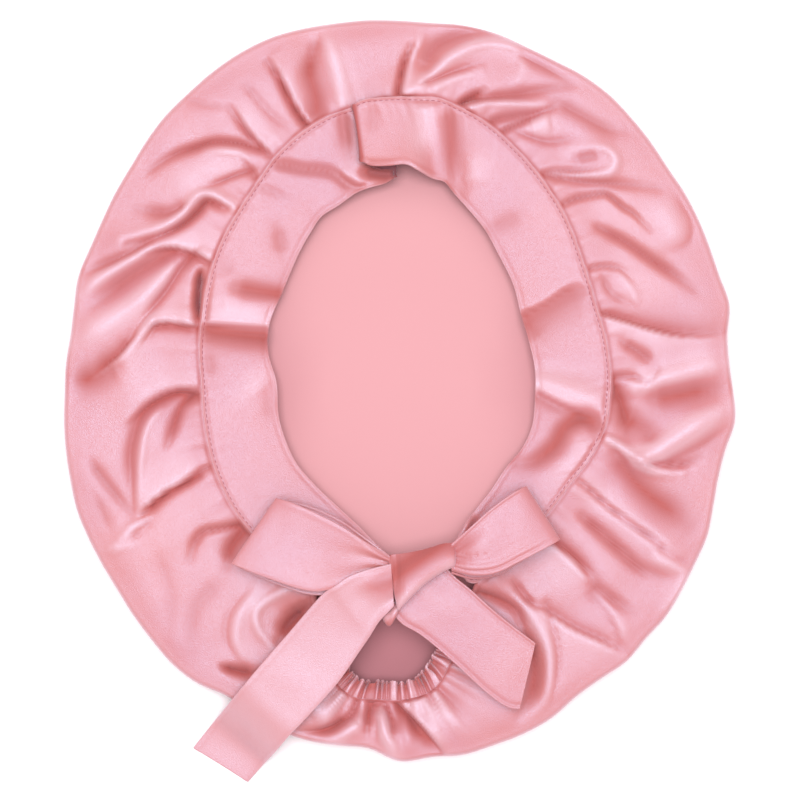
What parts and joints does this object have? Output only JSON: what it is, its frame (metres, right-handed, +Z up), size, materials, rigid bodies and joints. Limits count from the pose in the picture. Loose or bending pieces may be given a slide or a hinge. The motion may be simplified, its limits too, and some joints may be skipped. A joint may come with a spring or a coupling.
{
  "type": "sleep bonnet",
  "caption": "Round gathered sleep bonnet lying open side up, with a wide sewn band tied in a flat bow and a short ruched casing at the nape.",
  "frame": {"origin": "centre of the bounding box, on the surface that the bonnet lies on", "axes": "+Z up through the head opening, +Y from the bow at the nape to the forehead, +X to the right as seen from above"},
  "size_m": [0.3491, 0.3993, 0.0462],
  "materials": {
    "crown_satin": "soft pink satin, matte on its inner side",
    "casing_satin": "soft pink satin, ruched",
    "band_satin": "soft pink satin",
    "loop_left_satin": "soft pink satin",
    "loop_right_satin": "soft pink satin",
    "tail_left_satin": "soft pink satin",
    "tail_right_satin": "soft pink satin",
    "knot_satin": "soft pink satin"
  },
  "bodies": {
    "root": {"crown": "crown_satin", "nape_casing": "casing_satin", "band": "band_satin", "bow_loop_left": "loop_left_satin", "bow_loop_right": "loop_right_satin", "bow_tail_left": "tail_left_satin", "bow_tail_right": "tail_right_satin", "bow_knot": "knot_satin"}
  },
  "joints": []
}
